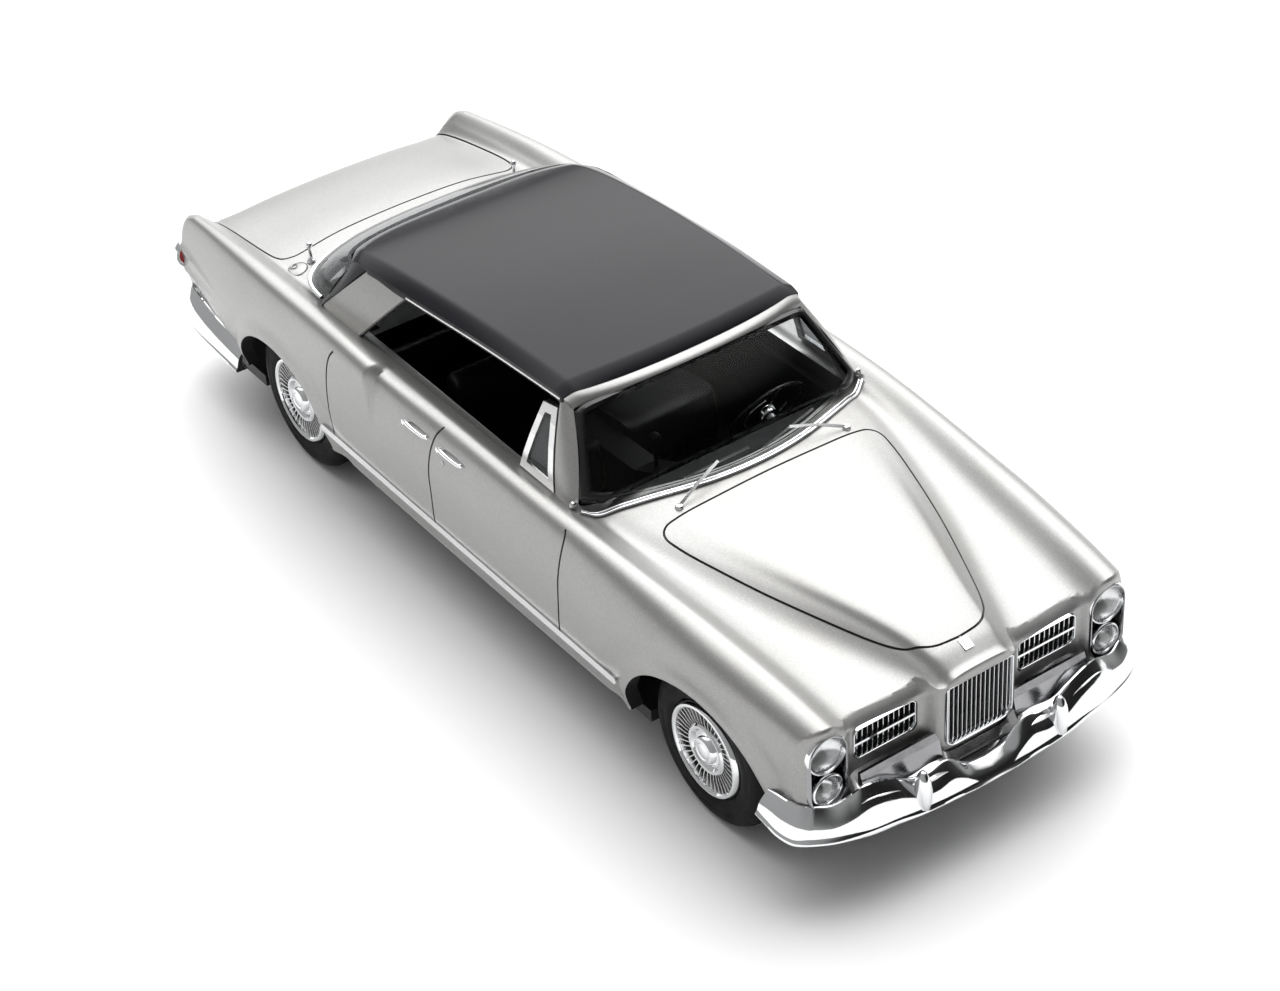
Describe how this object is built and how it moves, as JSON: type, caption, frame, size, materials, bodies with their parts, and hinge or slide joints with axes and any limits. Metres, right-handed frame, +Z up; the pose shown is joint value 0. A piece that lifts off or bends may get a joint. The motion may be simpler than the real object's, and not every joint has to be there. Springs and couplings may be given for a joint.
{
  "type": "diecast collector car",
  "caption": "Small diecast model of a pillarless four-door saloon, silver with a black roof, with glazing, interior and two freely rolling axles.",
  "frame": {"origin": "on the ground plane under the middle of the car's bounding box", "axes": "+X to the front bumper, +Y to the car's left, +Z up"},
  "size_m": [0.1208, 0.0426, 0.0321],
  "materials": {
    "silver_paint": "satin silver metallic lacquer",
    "black_roof_paint": "gloss black lacquer",
    "chassis_dark": "satin dark grey",
    "interior_black": "matt black",
    "clear_plastic": "clear, slightly smoked",
    "black_rubber_trim": "satin black",
    "lamp_clear": "clear, ribbed",
    "lamp_red": "transparent red",
    "screw_steel": "bright zinc",
    "tyre_rubber": "matt rubber",
    "chrome_trim": "bright chrome"
  },
  "bodies": {
    "root": {"body_shell": "silver_paint", "roof_cap": "black_roof_paint", "chassis_plate": "chassis_dark", "interior_tub": "interior_black", "dashboard": "interior_black", "centre_console": "interior_black", "steering_column": "interior_black", "steering_wheel": "interior_black", "front_seat_right": "interior_black", "front_seat_left": "interior_black", "rear_seat": "interior_black", "windscreen": "clear_plastic", "windscreen_gasket": "black_rubber_trim", "windscreen_trim": "chrome_trim", "rear_window": "clear_plastic", "rear_window_trim": "chrome_trim", "vent_frame_right": "chrome_trim", "vent_frame_left": "chrome_trim", "vent_glass_right": "clear_plastic", "vent_glass_left": "clear_plastic", "window_rails": "chrome_trim", "sill_trim_right": "chrome_trim", "sill_trim_left": "chrome_trim", "door_handles": "chrome_trim", "wiper_right": "chrome_trim", "wiper_left": "chrome_trim", "aerials": "chrome_trim", "fuel_flaps": "silver_paint", "hood_badge": "chrome_trim", "centre_grille": "chrome_trim", "grille_mesh": "black_rubber_trim", "side_grille_right": "chrome_trim", "side_grille_left": "chrome_trim", "front_valance": "chassis_dark", "lamp_housing_right": "chrome_trim", "lamp_housing_left": "chrome_trim", "headlamp_right": "lamp_clear", "headlamp_left": "lamp_clear", "fog_lamp_right": "lamp_clear", "fog_lamp_left": "lamp_clear", "lamp_rings": "chrome_trim", "tail_lamp_right": "lamp_red", "tail_lamp_left": "lamp_red", "front_bumper": "chrome_trim", "rear_bumper": "chrome_trim", "overriders": "chrome_trim", "number_plate": "black_rubber_trim", "exhaust_pipes": "chassis_dark", "base_screws": "screw_steel"},
    "front_axle": {"front_axle": "chassis_dark", "wheel_front_right": "chrome_trim", "wheel_front_left": "chrome_trim", "tyre_front_right": "tyre_rubber", "tyre_front_left": "tyre_rubber"},
    "rear_axle": {"rear_axle": "chassis_dark", "wheel_rear_right": "chrome_trim", "wheel_rear_left": "chrome_trim", "tyre_rear_right": "tyre_rubber", "tyre_rear_left": "tyre_rubber"}
  },
  "joints": [
    {"name": "front_axle_spin", "type": "hinge", "parent": "root", "child": "front_axle", "pos_m": [0.04145, 0, 0.00825], "axis": [0, 1, 0], "continuous": true},
    {"name": "rear_axle_spin", "type": "hinge", "parent": "root", "child": "rear_axle", "pos_m": [-0.03225, 0, 0.00825], "axis": [0, 1, 0], "continuous": true}
  ]
}
